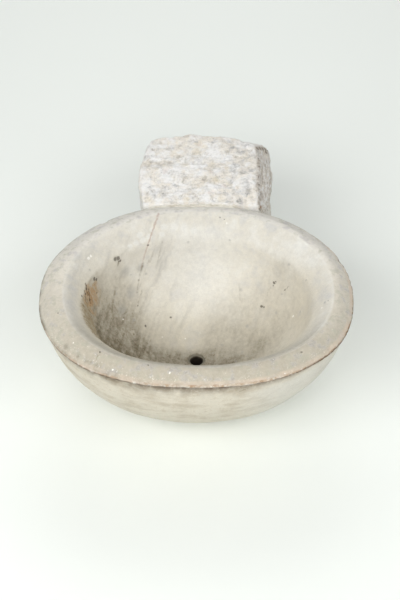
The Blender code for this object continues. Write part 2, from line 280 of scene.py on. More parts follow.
def bowlProfile():  # rings as half length, half depth, height and stage, which counts the parts passed
    made, count, hole, crest = [], bowl["rings"], bowl["hole"], bowl["crest"]
    rimWidth, crestWidth, shoulder = bowl["rimWidth"], bowl["crestWidth"], bowl["shoulder"]

    def add(stage, steps, ring):
        made.extend((*ring(step / steps), stage + step / steps) for step in range(steps))

    footLong, footDeep = (side / 2 for side in bowl["foot"])
    add(0, count["foot"], lambda t: (mix(hole, footLong, t), mix(hole, footDeep, t), 0))
    topLong, topDeep, top = insetRing(bowl["lipOverhang"], bowl["bodyTop"])
    fullLong = top / math.sqrt(1 - (footLong / topLong) ** 2)
    fullDeep = top / math.sqrt(1 - (footDeep / topDeep) ** 2)

    def bodyRing(t):
        drop = top * math.cos(math.pi / 2 * t)
        long, deep = (math.sqrt(1 - (drop / full) ** 2) for full in (fullLong, fullDeep))
        return topLong * long, topDeep * deep, top - drop

    add(1, count["body"], bodyRing)
    made.append((*bodyRing(1), 2))
    start, end = bowl["lipAngles"]
    add(2, count["lip"], lambda t: lipRing(mix(start, end, t)))
    lipLong, _, lipTop = lipRing(end)
    lipInset = bowl["length"] / 2 - lipLong

    def rimRing(t):
        rise = 1 - (1 - t) ** bowl["rimCrown"]
        return insetRing(mix(lipInset, rimWidth, t), mix(lipTop, crest, rise))

    def crestRing(t):
        reach = crestWidth * t
        return insetRing(rimWidth + reach, crest - reach**2 / (2 * crestWidth))

    hollowInset, hollowTop = rimWidth + shoulder, crest - shoulder
    crestInset, shoulderTop = rimWidth + crestWidth, crest - crestWidth / 2

    def shoulderRing(t):
        return insetRing(mix(crestInset, hollowInset, t), mix(shoulderTop, hollowTop, t))

    first = math.radians(bowl["hollowLean"])
    hollowLong, hollowDeep = (side / math.cos(first) for side in insetRing(hollowInset, hollowTop)[:2])
    last = math.acos(hole / hollowDeep)
    sweep = (hollowTop - bowl["floor"]) / (math.sin(last) - math.sin(first))

    def hollowRing(t):
        turn = mix(first, last, t)
        deep = sweep * (math.sin(turn) - math.sin(first))
        return hollowLong * math.cos(turn), hollowDeep * math.cos(turn), hollowTop - deep

    add(3, count["rim"], rimRing)
    add(4, count["crest"], crestRing)
    add(4.5, count["shoulder"], shoulderRing)
    add(5.5, count["hollow"], hollowRing)
    add(7, count["hole"], lambda t: (hole, hole, bowl["floor"] * (1 - t)))
    return softened(np.array(made))


def softened(profile):  # rounds the crest and the edge between shoulder and hollow
    steps = np.linalg.norm(np.diff(profile[:, 1:3], axis=0), axis=1)
    run = np.concatenate([[0], np.cumsum(steps)])
    soft = band(profile[:, 3], 3.5, 3.9, 6.0, 6.4)
    shares = np.gradient(run)
    smooth = profile.copy()
    for row in range(len(profile)):
        if soft[row] > 0:
            weight = np.exp(-(((run - run[row]) / bowl["softness"]) ** 2)) * shares
            mean = (profile[:, :3] * weight[:, None]).sum(0) / weight.sum()
            smooth[row, :3] += (mean - profile[row, :3]) * soft[row]
    return smooth


def bowlLoft():
    profile = bowlProfile()
    segments, rings = bowl["segments"], len(profile)
    turn = np.arange(segments) * 2 * math.pi / segments
    across, along = np.cos(turn), np.sin(turn)
    front = np.clip(-along, 0, 1)
    long, deep, height, stage = (profile[:, [column]] for column in range(4))

    def share(key):
        return np.interp(stage, *bowl[key])

    power = bowl["frontPower"]
    blunt = (np.abs(across) ** power + np.abs(along) ** power) ** (-1 / power) - 1
    blunt = 1 + np.where(front > 0, blunt, 0) * share("bluntShare")
    points = np.zeros((rings, segments, 3))
    points[..., 0] = long * across * blunt + bowl["hollowShift"] * share("shiftShare")
    points[..., 1] = deep * along * blunt + bowl["centre"]
    points[..., 1] += bowl["frontSetback"] * share("setbackShare") * front**2
    points[..., 2] = height
    around, onwards = (np.roll(points, -1, axis) - np.roll(points, 1, axis) for axis in (1, 0))
    outwards = np.cross(around, onwards)
    outwards /= np.linalg.norm(outwards, axis=2, keepdims=True)
    stages = np.repeat(profile[:, 3], segments)
    return points.reshape(-1, 3), outwards.reshape(-1, 3), stages, ringFaces(rings, segments)


def craters(points, tree, marks):  # how deep each point lies in the marks, in metres
    deep = np.zeros(len(points))
    for across, down, radius, depth in marks:
        away = np.linalg.norm(points - np.array(sight(tree, (across, down))), axis=1) * perMetre
        deep = np.maximum(deep, depth / perMetre * (1 - ease(away, radius * 0.25, radius)))
    return deep


def makeBowl():
    points, outwards, stage, faces = bowlLoft()
    tree = BVHTree.FromPolygons(points.tolist(), faces)
    worked = band(stage, 1.1, 1.5, 6.9, 7)
    height = np.zeros(len(points))
    for key, shift in (("sway", 3.1), ("ripple", 7.7), ("tooling", 1.3)):
        size, width = bowl[key]
        height += size * worked * waves(points, width, 1, shift)
    # the arris of the lip is chipped, most along the front and the right
    side, back = ovalShares(points)
    exposed = np.clip(0.35 + 0.9 * side - 1.1 * back, 0.12, 1)
    depth, size = bowl["crumbs"]
    chipped = ease(waves(points, size, 3, 5.5), 0.02, 0.42) * band(stage, 2.0, 2.55, 2.95, 3.12) * exposed
    height -= depth * chipped * (0.75 + 0.5 * waves(points, 0.005, 2, 2.2))
    height -= craters(points, tree, lipChips) * band(stage, 1.9, 2.3, 3.05, 3.35)
    height -= craters(points, tree, dents)
    moved = points + outwards * height[:, None]
    size, width, length = bowl["backWear"]
    face = joint["bowlFace"]
    atBack = ease(points[:, 1], face - length, face) * np.exp(-((points[:, 0] / width) ** 2))
    moved[:, 2] -= size * atBack * band(stage, 2.9, 3.05, 4.0, 4.5)
    piece = meshPiece("bowlStone", moved.tolist(), faces)
    setMask(piece.data, "stage", stage)
    setMask(piece.data, "chipped", np.clip(chipped, 0, 1))
    combine(piece, [makeNeck()], "UNION")
    combine(piece, sockets(), "DIFFERENCE")
    combine(piece, [block("behind", (-0.5, face, -0.5), (0.5, 0.8, 0.8))], "DIFFERENCE")
    return piece, tree


neck = {
    "width": 0.18,
    "front": 0.165,  # from the middle of the bowl
    "back": 0.233,
    "top": 0.226,
    "underside": 0.028,
    "slopeStart": (0.067, 0.141),  # under the hollow's floor, and behind the hollow
    "rounding": 0.008,
    "cell": 0.0042,
    "rough": (0.0016, 0.02),
}


def makeNeck():  # the shank that runs from the bowl's back wall to the joint
    form = bmesh.new()
    front, back, top, low = neck["front"], neck["back"], neck["top"], neck["underside"]
    startY, startZ = neck["slopeStart"]
    profile = ((front, top), (front, startZ), (startY, low), (back, low), (back, top))
    half = neck["width"] / 2
    face = form.faces.new([form.verts.new((-half, y + bowl["centre"], z)) for y, z in profile])
    drawn = bmesh.ops.extrude_face_region(form, geom=[face])["geom"]
    ends = [corner for corner in drawn if isinstance(corner, bmesh.types.BMVert)]
    bmesh.ops.translate(form, verts=ends, vec=(2 * half, 0, 0))
    bmesh.ops.recalc_face_normals(form, faces=form.faces[:])
    piece = formPiece("neck", form)
    soft = piece.modifiers.new("round", "BEVEL")
    soft.width, soft.segments = neck["rounding"], 3
    even = piece.modifiers.new("even", "REMESH")
    even.mode, even.voxel_size = "VOXEL", neck["cell"]
    bakeModifiers(piece)
    points = corners(piece.data)
    depth, size = neck["rough"]
    height = depth * (waves(points, size, 3, 4.4) - 0.4)
    points += corners(piece.data, "normal") * height[:, None]
    piece.data.vertices.foreach_set("co", points.ravel())
    setMask(piece.data, "stage", np.full(len(points), 0.5))
    return piece


bowlStone, bowlTree = makeBowl()
print("bowl:", len(bowlStone.data.polygons), "faces")

# the rough tail, which was built into the wall
tail = {
    "front": joint["tailFace"],
    "left": 0.104,
    "right": 0.1155,
    "length": 0.189,
    "top": 0.252,
    "leftBow": 0.007,
    "flankWidth": 0.0245,
    "flankDrop": 0.032,
    "backBreak": 0.006,
    "backLeft": 0.02,
    "backRight": 0.04,
    "breakHeight": 0.075,
    "leftCorner": 0.02,
    "hewnDepth": 0.007,
    "hewnSize": 0.045,
    "seed": 7,
    "cuts": 104,
    "frontSlope": 0.062,  # length over which the top comes down to the rim
    "frontRise": 0.003,  # how far it stays above the rim
    "leftBulge": (0.0055, 0.35, 0.28),  # width, where along the length, and over what share of it
    "frontFlank": (0.02, 0.37),  # how far the flank draws in towards the joint, and over what share
    "softRidge": (14, 0.12, 0.86),  # rounds of smoothing, and the zone: from the edge, and from what height
    "scallop": (0.0019, 0.026),
    "lumps": (0.002, 0.012),
    "grit": (0.0009, 0.0036),
    "drag": (0.0016, 0.0045),  # chisel lines of the flank
    "crack": (0.0026, 0.0045),  # half width and depth of the open end of the joint
    "furrows": (0.0022, 0.0095),  # point marks of the sides and the back
    "slant": (0.2, 0.55, 0.81),  # the way they run
    "knocks": (0.0055, 0.013, 0.021),  # edges knocked off: depth, reach and spacing
}
# hollows and lumps of the tail's top: where each shows, its radius and its depth in mm
tailDents = (
    (168, 148, 8, 3.2), (153, 149, 7, 2.6), (179, 156, 7, 2.6), (184, 182, 6, 2.6), (148, 193, 7, 2.4),
    (154, 190, 6, 2.2), (205, 178, 9, 3.6), (151, 161, 6, 2.2), (170, 162, 6, 1.8), (228, 152, 7, 2.2),
    (239, 151, 6, 2), (243, 172, 7, 2.2), (236, 166, 5, 1.6), (246, 157, 5, 1.8), (162, 187, 7, 1.8),
    (232, 200.5, 7, 1.8), (240, 201.5, 5, 1.4), (247, 201, 7, 1.8), (214, 168, 5, 2), (173, 180, 6, 1.4),
    (256, 157, 6, 2.8), (256.5, 168, 5, 2.4), (255.5, 180, 6, 2.6), (257, 190, 5, 2.2), (251, 150, 6, 2.2),
    (257, 163, 4, 2), (256.5, 174, 4, 1.8), (250, 190, 6, 2), (252, 197, 5, 2.2), (198, 163, 5, 1.6),
)
crackPath = ((259.5, 188), (261.5, 197), (259.8, 205), (261.5, 213))
tailLumps = (
    (205, 172, 10, 3.4), (217, 159, 18, 1.6), (247, 164, 9, 1.6), (188, 151, 12, 1.4), (160, 178, 14, 1.4),
)


def tailPoint(across, along, up):  # the tail's large shape, from shares of its width, length and height
    height = tail["top"] * up
    down = tail["top"] - height
    right = tail["right"] + tail["flankWidth"] * min(1, down / tail["flankDrop"])
    broken = max(0, 1 - down / tail["breakHeight"])
    left = -tail["left"] + tail["leftBow"] * (1 - along) ** 2 + tail["leftCorner"] * broken * along**6
    corner = (tail["backLeft"] if across < 0.5 else tail["backRight"]) * abs(2 * across - 1) ** 4
    length = tail["length"] - tail["backBreak"] * broken**2 - corner * broken ** (2 if across < 0.5 else 4)
    point = Vector((left + (right - left) * across, length * along, height))
    size = tail["hewnSize"]
    fromBack = min(1, length * (1 - along) / size + broken)
    hewn = min(1, length * along / size) * min(1, height / size) * fromBack
    return point + tail["hewnDepth"] * hewn * noise.noise_vector(point / size)


def rimHeight(across):  # of the bowl's rim just in front of the joint
    reach = joint["rimReach"]
    above = Vector((max(-reach, min(reach, across)), joint["bowlFace"] - 0.0005, 0.4))
    return bowlTree.ray_cast(above, Vector((0, 0, -1)))[0].z


def makeTail():
    noise.seed_set(tail["seed"])
    form, shares = fineCube(tail["cuts"])
    width, middle, spread = tail["leftBulge"]
    inwards, reach = tail["frontFlank"]
    long, tall = tail["length"], tail["top"]
    for corner in form.verts:
        across, along, up = corner.co
        corner.co = tailPoint(across, along, up)
        upper = max(0, corner.co.z / tall) ** 6
        drop = tall - rimHeight(corner.co.x) - tail["frontRise"]
        corner.co.z -= drop * upper * max(0, 1 - corner.co.y / tail["frontSlope"]) ** 1.3
        corner.co.x -= width * (1 - across) ** 3 * up**2 * math.exp(-(((along - middle) / spread) ** 2))
        outer = min(1, (1 - up) * tall / tail["flankDrop"])
        corner.co.x -= inwards * across**8 * max(0, 1 - along / reach) * outer
        corner.co.y += tail["front"]
    across, along, up = shares.T
    rounds, zone, low = tail["softRidge"]
    soft = (up > low) & (along > 0) & ((across < zone) | (across > 1 - zone) | (along > 1 - zone))
    ridges = [corner for corner, near in zip(form.verts, soft) if near]
    axes = {f"use_axis_{axis}": True for axis in "xyz"}
    for _ in range(rounds):
        bmesh.ops.smooth_vert(form, verts=ridges, factor=0.5, **axes)
    form.normal_update()
    tree = BVHTree.FromBMesh(form)
    piece = formPiece("tailStone", form)
    mesh = piece.data
    points, outwards = corners(mesh), corners(mesh, "normal")
    # the joint face and the bed stay flat, and the lower back is calmer
    loose = ease(along * long, 0.0, 0.006) * ease(up * tall, 0.004, 0.02)
    loose *= np.maximum(ease((1 - along) * long, 0.0, 0.008), np.maximum(ease(up, 0.72, 0.85), 0.6))
    depth, size = tail["scallop"]
    wandering = points / size + waves(points, size * 1.6, 2, 9.1)[:, None] * 0.5
    cells = np.array([noise.voronoi(p)[0] for p in wandering.tolist()])
    height = depth * (np.minimum(cells[:, 0], 0.75) - 0.5)
    depth, size = tail["lumps"]
    height += depth * (waves(points, size, 5, 6.2) - 0.1)
    depth, size = tail["grit"]
    height += depth * waves(points, size, 2, 8.8)
    # the right flank is drawn with a point along its length
    flank = ease(across, 0.97, 1.0) * ease(up, 0.55, 0.8)
    lines = waves(points * np.array([1, 0.06, 1]), tail["drag"][1], 2, 1.7)
    height = height * (1 - 0.55 * flank) + tail["drag"][0] * flank * lines
    height -= craters(points, tree, tailDents)
    height += craters(points, tree, tailLumps)
    half, depth = tail["crack"]
    opening = np.zeros(len(points))
    for spots in zip(crackPath, crackPath[1:]):
        start, end = (np.array(sight(tree, spot)) for spot in spots)
        line = end - start
        share = np.clip((points - start) @ line / (line @ line), 0, 1)
        away = np.linalg.norm(points - start - share[:, None] * line, axis=1)
        opening = np.maximum(opening, 1 - ease(away, half * 0.3, half))
    opening *= patchy(points, 0.75, 0.9, 0.006, 2, 5.1, 0.15)
    height -= depth * opening
    # painted shade with dirt in the tail's hollows, deeper where the surface lies lower
    setMask(mesh, "sunkShadeAndDirt", np.clip(0.5 - height / 0.006, 0, 1))
    lower = 1 - ease(up, 0.8, 0.93)
    depth, size = tail["furrows"]
    slant = np.array(tail["slant"])
    height += depth * lower * (waves(points - 0.86 * (points @ slant)[:, None] * slant, size, 2, 2.9) - 0.3)
    depth, size, space = tail["knocks"]
    wide = tail["left"] + tail["right"] + tail["flankWidth"]
    edges = np.stack([across * wide, (1 - across) * wide, along * long, (1 - along) * long, up * tall])
    knocked = (1 - ease(np.sort(edges, 0)[1], 0, size)) * patchy(points, 0.35, 1.5, space, 3, 12.6, 0.08)
    points += outwards * (height * loose - depth * knocked * lower)[:, None]
    mesh.vertices.foreach_set("co", points.ravel())
    setMask(mesh, "flank", flank)
    setMask(mesh, "crack", opening)
    setMask(mesh, "arris", flank * ease(up, 0.955, 0.985) * patchy(points, 0.55, 1.2, 0.008, 3, 7.4))
    combine(piece, sockets(), "DIFFERENCE")
    return piece, tree


tailStone, tailTree = makeTail()
print("tail:", len(tailStone.data.polygons), "faces")

# the bed of lime mortar in the joint, crumbled along its edges and lost at the right end
mortar = {
    "half": 0.087,
    "front": 0.1203,
    "back": 0.1257,
    "low": 0.031,
    "belowRim": 0.0006,
    "lostFrom": (0.066, 0.08),
    "lostDepth": 0.016,
    "cuts": 70,
    "crumble": (0.0026, 0.0065),
}


def makeMortar():
    form, shares = fineCube(mortar["cuts"])
    across, along, up = shares.T
    points = np.zeros_like(shares)
    points[:, 0] = mortar["half"] * (2 * across - 1)
    points[:, 1] = mix(mortar["front"], mortar["back"], along)
    rim = np.array([rimHeight(x) for x in points[:, 0]])
    top = rim - mortar["belowRim"] - mortar["lostDepth"] * ease(points[:, 0], *mortar["lostFrom"])
    points[:, 2] = mix(mortar["low"], top, up)
    depth, size = mortar["crumble"]
    rough = depth * (waves(points, size, 4, 3.7) - 0.3)
    for axis, share, inner in ((0, across, 0.94), (2, up, 0.96)):
        points[:, axis] += rough * np.sign(share - 0.5) * ease(np.abs(2 * share - 1), inner, 1)
    piece = formPiece("jointMortar", form)
    piece.data.vertices.foreach_set("co", points.ravel())
    half, z = joint["dowelSide"] / 2, joint["dowelZ"]
    middles = [side * joint["dowelX"] for side in (-1, 1)]
    holes = [block("hole", (x - half, 0.1, z - half), (x + half, 0.15, z + half)) for x in middles]
    combine(piece, holes, "DIFFERENCE")
    return piece


jointMortar = makeMortar()
print("mortar:", len(jointMortar.data.polygons), "faces")

# the lead sleeve of the drain, dented by use
sleeve = {
    "bottom": 0.0008,
    "top": 0.0492,
    "flange": 0.0155,
    "flangeThick": 0.0025,
    "wall": 0.0022,
    "bore": 0.0115,
    "edge": 0.0008,
    "segments": 160,
    "dents": (0.0011, 1.3),  # depth and number of dents round the bore
    "flare": 0.0012,  # the bore opens this much at its mouth
    "flareDepth": 0.002,
    "point": (0.0007, 0.0004),  # the mouth comes to a blunt point at the front, and is tighter elsewhere
    "fade": 0.012,  # depth at which the dents get faint
    "wobble": 0.00025,
}


def makeSleeve():
    low, top, edge, flare = (sleeve[key] for key in ("bottom", "top", "edge", "flare"))
    bore, flange = sleeve["bore"], sleeve["flange"]
    outer, under = bore + sleeve["wall"], top - sleeve["flangeThick"]
    profile = [(bore + 0.0003, low), (outer, low)]
    profile += [(outer, low + (under - 0.0012 - low) * step / 12) for step in range(1, 13)]
    profile += [(outer + 0.0004, under - 0.0003), (outer + 0.001, under), (flange - edge, under)]
    profile += [(flange, under + edge), (flange, top - edge), (flange - edge * 0.3, top - edge * 0.25)]
    profile += [(flange - edge * 1.2, top), (bore + flare * 1.6, top), (bore + flare * 0.9, top - 0.0004)]
    depths = np.linspace(0.001, top - low - 0.001, 22)
    profile += [(bore + flare * math.exp(-depth / sleeve["flareDepth"]), top - depth) for depth in depths]
    segments, rings = sleeve["segments"], len(profile)
    turn = np.arange(segments) * 2 * math.pi / segments
    radius, height = (column[:, None] * np.ones(segments) for column in np.array(profile).T)
    circle = np.stack([np.cos(turn), np.sin(turn), np.zeros(segments)], 1)
    depth, count = sleeve["dents"]
    long, tight = sleeve["point"]
    dented = depth * waves(circle * count, 1, 3, np.array((4.2, 1.1, 7.3)))
    dented += long * np.clip(-circle[:, 1], 0, 1) ** 6 - tight
    fade = np.exp(-np.clip(top - height, 0, 1) / sleeve["fade"])
    radius += np.where(radius < outer - 0.0001, dented * fade, 0)
    height += np.where(height > top - edge * 1.5, sleeve["wobble"] * (np.sin(3 * turn + 0.7) - 1), 0)
    points = np.stack([radius * np.cos(turn), bowl["centre"] + radius * np.sin(turn), height], -1)
    return meshPiece("drainSleeve", points.reshape(-1, 3).tolist(), ringFaces(rings, segments))


drainSleeve = makeSleeve()
print("sleeve:", len(drainSleeve.data.polygons), "faces")


class Wire:  # a socket of a material, with arithmetic that adds Math nodes
    def __init__(self, tree, socket=None):
        self.tree, self.socket = tree, socket

    def node(self, kind, sockets=None, out=0, stops=(), **settings):
        made = self.tree.nodes.new("ShaderNode" + kind)
        for name, value in settings.items():
            setattr(made, name, value)
        if stops:
            ramp = made.color_ramp.elements
            ramp.remove(ramp[1])
            ramp[0].position, ramp[0].color = stops[0]
            for place, colour in stops[1:]:
                ramp.new(place).color = colour
        for name, value in (sockets or {}).items():
            if isinstance(value, Wire):
                self.tree.links.new(value.socket, made.inputs[name])
            else:
                made.inputs[name].default_value = value
        return Wire(self.tree, made.outputs[out] if made.outputs else None)

    def maths(self, operation, *values):
        return self.node("Math", dict(enumerate(values)), operation=operation)

    def __add__(self, other):
        return self.maths("ADD", self, other)

    def __sub__(self, other):
        return self.maths("SUBTRACT", self, other)

    def __rsub__(self, other):
        return self.maths("SUBTRACT", other, self)

    def __mul__(self, other):
        return self.maths("MULTIPLY", self, other)

    def __or__(self, other):  # the larger of two masks
        return self.maths("MAXIMUM", self, other)

    __radd__, __rmul__, __ror__ = __add__, __mul__, __or__

    def between(self, low, high):  # smooth step, also from high to low
        ends = {"Value": self, "From Min": low, "From Max": high}
        return self.node("MapRange", ends, interpolation_type="SMOOTHSTEP")

    def mask(self, name):  # of the corners of the piece
        return self.node("Attribute", None, "Fac", attribute_name=name)


def vectors(operation, *values, out="Vector"):
    return values[0].node("VectorMath", dict(enumerate(values)), out, operation=operation)


def tint(below, above, mask):  # a colour over another
    colours = [(*c, 1) if isinstance(c, tuple) else c for c in (below, above)]
    return mask.node("Mix", {0: mask, 6: colours[0], 7: colours[1]}, 2, data_type="RGBA", clamp_factor=True)


def painter(tones, colour):  # lays tones over a colour, one after another
    def paint(tone, mask):
        nonlocal colour
        colour = tint(colour, tones[tone], mask)
        return colour

    return paint


def grain(place, size, detail, rough, out="Fac"):
    sockets = {"Vector": place, "Scale": 1 / size, "Detail": detail, "Roughness": rough}
    return place.node("TexNoise", sockets, out)


def fibres(place, sizes, detail, rough, turn=(0, 0, 0)):  # noise with cells of these sizes, turned
    sockets = {"Vector": place, "Rotation": turn, "Scale": sizes}
    return grain(place.node("Mapping", sockets, vector_type="TEXTURE"), 1, detail, rough)


def shaken(place, size, reach):  # coordinates that wander, so that edges aren't smooth
    wander = vectors("SUBTRACT", grain(place, size, 2, 0.6, "Color"), (0.5, 0.5, 0.5))
    return vectors("MULTIPLY_ADD", wander, (reach,) * 3, place)


def spotMask(near, centre, radius, soft):  # a round mark
    away = vectors("DISTANCE", near, tuple(centre), out="Value")
    return away.between(radius, radius * (1 - soft))


def streakMask(near, start, end, radius, soft):  # a mark drawn from one point to another
    line = end - start
    offset = vectors("SUBTRACT", near, tuple(start))
    share = vectors("DOT_PRODUCT", offset, tuple(line / line.length_squared), out="Value")
    share = share.node("Clamp", {"Value": share})
    nearest = share.node("VectorMath", {0: tuple(line), "Scale": share}, "Vector", operation="SCALE")
    away = vectors("DISTANCE", offset, nearest, out="Value")
    return away.between(radius, radius * (1 - soft))


def shaded(colour, value, dark, light):  # a colour made darker where a value is low
    sockets = {"Value": value, "From Min": 0.3, "From Max": 0.7, "To Min": dark, "To Max": light}
    return value.node("VectorMath", {0: colour, "Scale": value.node("MapRange", sockets)}, operation="SCALE")


def newFinish(name):
    material = bpy.data.materials.new(name)
    material.use_nodes = True
    material.node_tree.nodes.clear()
    start = Wire(material.node_tree)
    return material, start, start.node("TexCoord", None, "Object")


def surface(start, colour, rough, height, depth, shine=0.5, metal=0):
    normal = start.node("Bump", {"Strength": 1, "Distance": depth, "Height": height}, "Normal")
    sockets = {"Base Color": colour, "Roughness": rough, "Normal": normal}
    sockets |= {"Specular IOR Level": shine, "Metallic": metal}
    shader = start.node("BsdfPrincipled", sockets, "BSDF")
    start.node("OutputMaterial", {"Surface": shader})


# tones of the marble, as linear colours
marble = {
    "cream": (0.71, 0.68, 0.6),
    "pale": (0.76, 0.75, 0.7),
    "cool": (0.62, 0.61, 0.58),
    "vein": (0.38, 0.37, 0.345),
    "sideRim": (0.71, 0.662, 0.565),
    # painted light on the back of the rim
    "litBackRim": (0.735, 0.72, 0.675),
    "frontRim": (0.455, 0.412, 0.322),
    "fleck": (0.36, 0.315, 0.25),
    "wear": (0.42, 0.285, 0.18),
    "chip": (0.77, 0.715, 0.62),
    "grooveShadeAndDirt": (0.13, 0.085, 0.052),
    # grime, also laid on the hollow as painted shadow
    "grimeAndShade": (0.185, 0.153, 0.098),
    "warm": (0.7, 0.645, 0.52),
    "body": (0.67, 0.62, 0.515),
    "bodyStain": (0.46, 0.395, 0.295),
    "underLipShadeAndDirtTone": (0.25, 0.21, 0.155),
    # painted shade with some dirt, on the front crest
    "crestShadeAndDirt": (0.43, 0.402, 0.328),
    "moss": (0.5, 0.495, 0.4),
    "lilac": (0.6, 0.58, 0.575),
    "lipEdgeShadeAndDirt": (0.19, 0.18, 0.135),
    "rust": (0.5, 0.315, 0.165),
    "rustLow": (0.325, 0.25, 0.14),
    "rustCore": (0.13, 0.075, 0.035),
    "peach": (0.66, 0.545, 0.43),
    "pit": (0.085, 0.07, 0.052),
    "redVein": (0.46, 0.34, 0.275),
    "bed": (0.6, 0.555, 0.46),
    "paintedShade": (0.5, 0.481, 0.437),
    "smudge": (0.27, 0.245, 0.195),
    "sparkle": (0.88, 0.86, 0.8),
}
# specks, smudges and patches: where each shows and its radius in mm
darkSpecks = (
    (115.5, 259, 5), (118.5, 258.5, 5), (120, 261, 3.4), (94.5, 279, 4.2), (96.5, 279.5, 3.2),
    (86.5, 289, 3.2), (85.8, 293.5, 2.8), (90, 300, 3.6), (88, 295, 2.4), (97, 293, 2.2), (82, 296, 2.2),
    (171, 317, 2.8), (145.5, 326, 3.2), (274, 283, 3.4), (273, 285.5, 2.2), (276, 281.5, 1.8),
    (261.5, 306.5, 3.6), (264, 307, 2.4), (285, 290, 2), (110, 329, 1.8), (102, 343, 2.2), (220.5, 217, 2),
    (224, 219.5, 1.8), (138, 306, 1.9), (58, 313, 1.5), (100, 352, 2.4), (301.5, 352, 2.6), (148, 365, 1.8),
    (328, 301, 1.6), (148, 245.5, 2.2),
)
greySmudges = (
    (146, 274, 4.2), (188, 242, 4), (90, 270, 3), (247, 326, 5.5), (242, 352, 4.5), (247, 356, 4),
    (222, 345, 4.5), (236, 361.5, 4.5), (289, 264.5, 4), (306, 280, 3), (282, 294, 3), (271, 288, 2.6),
    (241, 290, 5), (325, 303, 4), (131, 275, 3), (117, 294, 4), (134, 320, 6), (125, 272, 15),
    (131, 292, 17), (122, 310, 16), (140, 268, 12), (230, 240, 3), (276, 313, 5), (300, 312, 4),
)
palePatches = (
    (149, 237, 8), (143, 240, 8), (136, 243, 8), (130, 246, 6), (152, 230, 6), (164, 227, 9),
    (174, 227, 10), (184, 228, 10), (194, 231, 9), (162, 234, 7), (140, 235, 8),
)
# white specks; the first two are a painted highlight on the shoulder's lower edge
whiteSpecksAndGlints = (
    (88.5, 258.5, 4.5), (91, 256, 3), (123, 319, 1.7), (185, 339, 1.8), (162, 337, 1.6), (160, 314, 1.4),
    (293, 316, 2.8), (322, 308, 3), (227, 223, 2.6), (170, 373, 2.2), (113, 370, 2.2), (73, 343, 1.8),
    (285, 373, 2), (201, 333, 1), (183, 311, 1.2), (210, 366, 1),
)
# streaks: from, to, half width in mm and strength
darkStreaks = (
    (119, 262, 113, 304, 4, 0.85), (143, 264, 137, 292, 3.6, 0.75), (142, 290, 138, 306, 2.2, 0.55),
    (116, 288, 112, 312, 4.4, 0.65), (134, 334, 131.5, 357, 3.2, 0.9), (124, 334, 121, 352, 3.2, 0.8),
    (118, 333, 113, 348, 3, 0.7), (128, 338, 126, 356, 2.4, 0.6), (139, 337, 137, 355, 2.6, 0.7),
    (108, 330, 104, 344, 2.4, 0.6), (151, 340, 149, 357, 2.6, 0.6), (112, 302, 118, 312, 2.4, 0.6),
    (127, 312, 113, 322, 2.2, 0.6), (150, 258, 140, 286, 2.4, 0.45), (163, 240, 156, 268, 2.6, 0.35),
    (98, 355, 94, 368, 1.8, 0.45), (284, 291, 289, 286, 1.2, 0.75), (267, 296, 270, 287, 1.2, 0.45),
    (239, 284, 240, 300, 2.8, 0.3), (158, 236, 150, 262, 3, 0.3), (145, 335, 142, 352, 2.4, 0.4),
    (240, 391, 248, 388.5, 0.9, 0.8), (239, 388.5, 246, 387, 0.9, 0.6),
)
redStreaks = (
    (158.5, 214, 156.5, 219, 3.4, 0.8), (156.5, 219, 154.2, 226, 3.2, 0.8),
    (154.2, 226, 151.5, 234, 2.8, 0.75), (151.5, 234, 148.5, 243, 2.6, 0.7),
    (148.5, 243, 145, 254, 2.4, 0.55), (145, 254, 141, 268, 2.2, 0.5),
)
rustStreaks = (
    (85.5, 284, 87.5, 293, 2.8, 1), (84.5, 291, 86, 301, 2.2, 0.9), (88.5, 289, 90.5, 303, 2.8, 1),
    (92, 300, 94, 313, 1.8, 0.7), (91, 312, 94, 328, 1.8, 0.6), (97, 322, 100, 338, 1.8, 0.6),
)
# dirt along the left of the front lip
lipSmudges = (
    (66, 347, 9), (78, 356, 9), (88, 362, 11), (97, 367, 11), (106, 372, 11), (116, 376, 11),
    (127, 379.5, 11), (138, 381.5, 10), (149, 383.5, 9), (162, 385, 8), (178, 386, 7), (200, 387, 7),
    (222, 387, 6),
)


def marks(near, tree, spots, soft=0.55):  # all the marks of one list as one mask
    return reduce(or_, (spotMask(near, sight(tree, (x, y)), r / perMetre, soft) for x, y, r in spots))


def streaks(near, tree, lines, soft=0.95):
    def streak(x0, y0, x1, y1, half, strength):
        ends = sight(tree, (x0, y0)), sight(tree, (x1, y1))
        return streakMask(near, *ends, half / perMetre, soft) * strength

    return reduce(or_, (streak(*line) for line in lines))


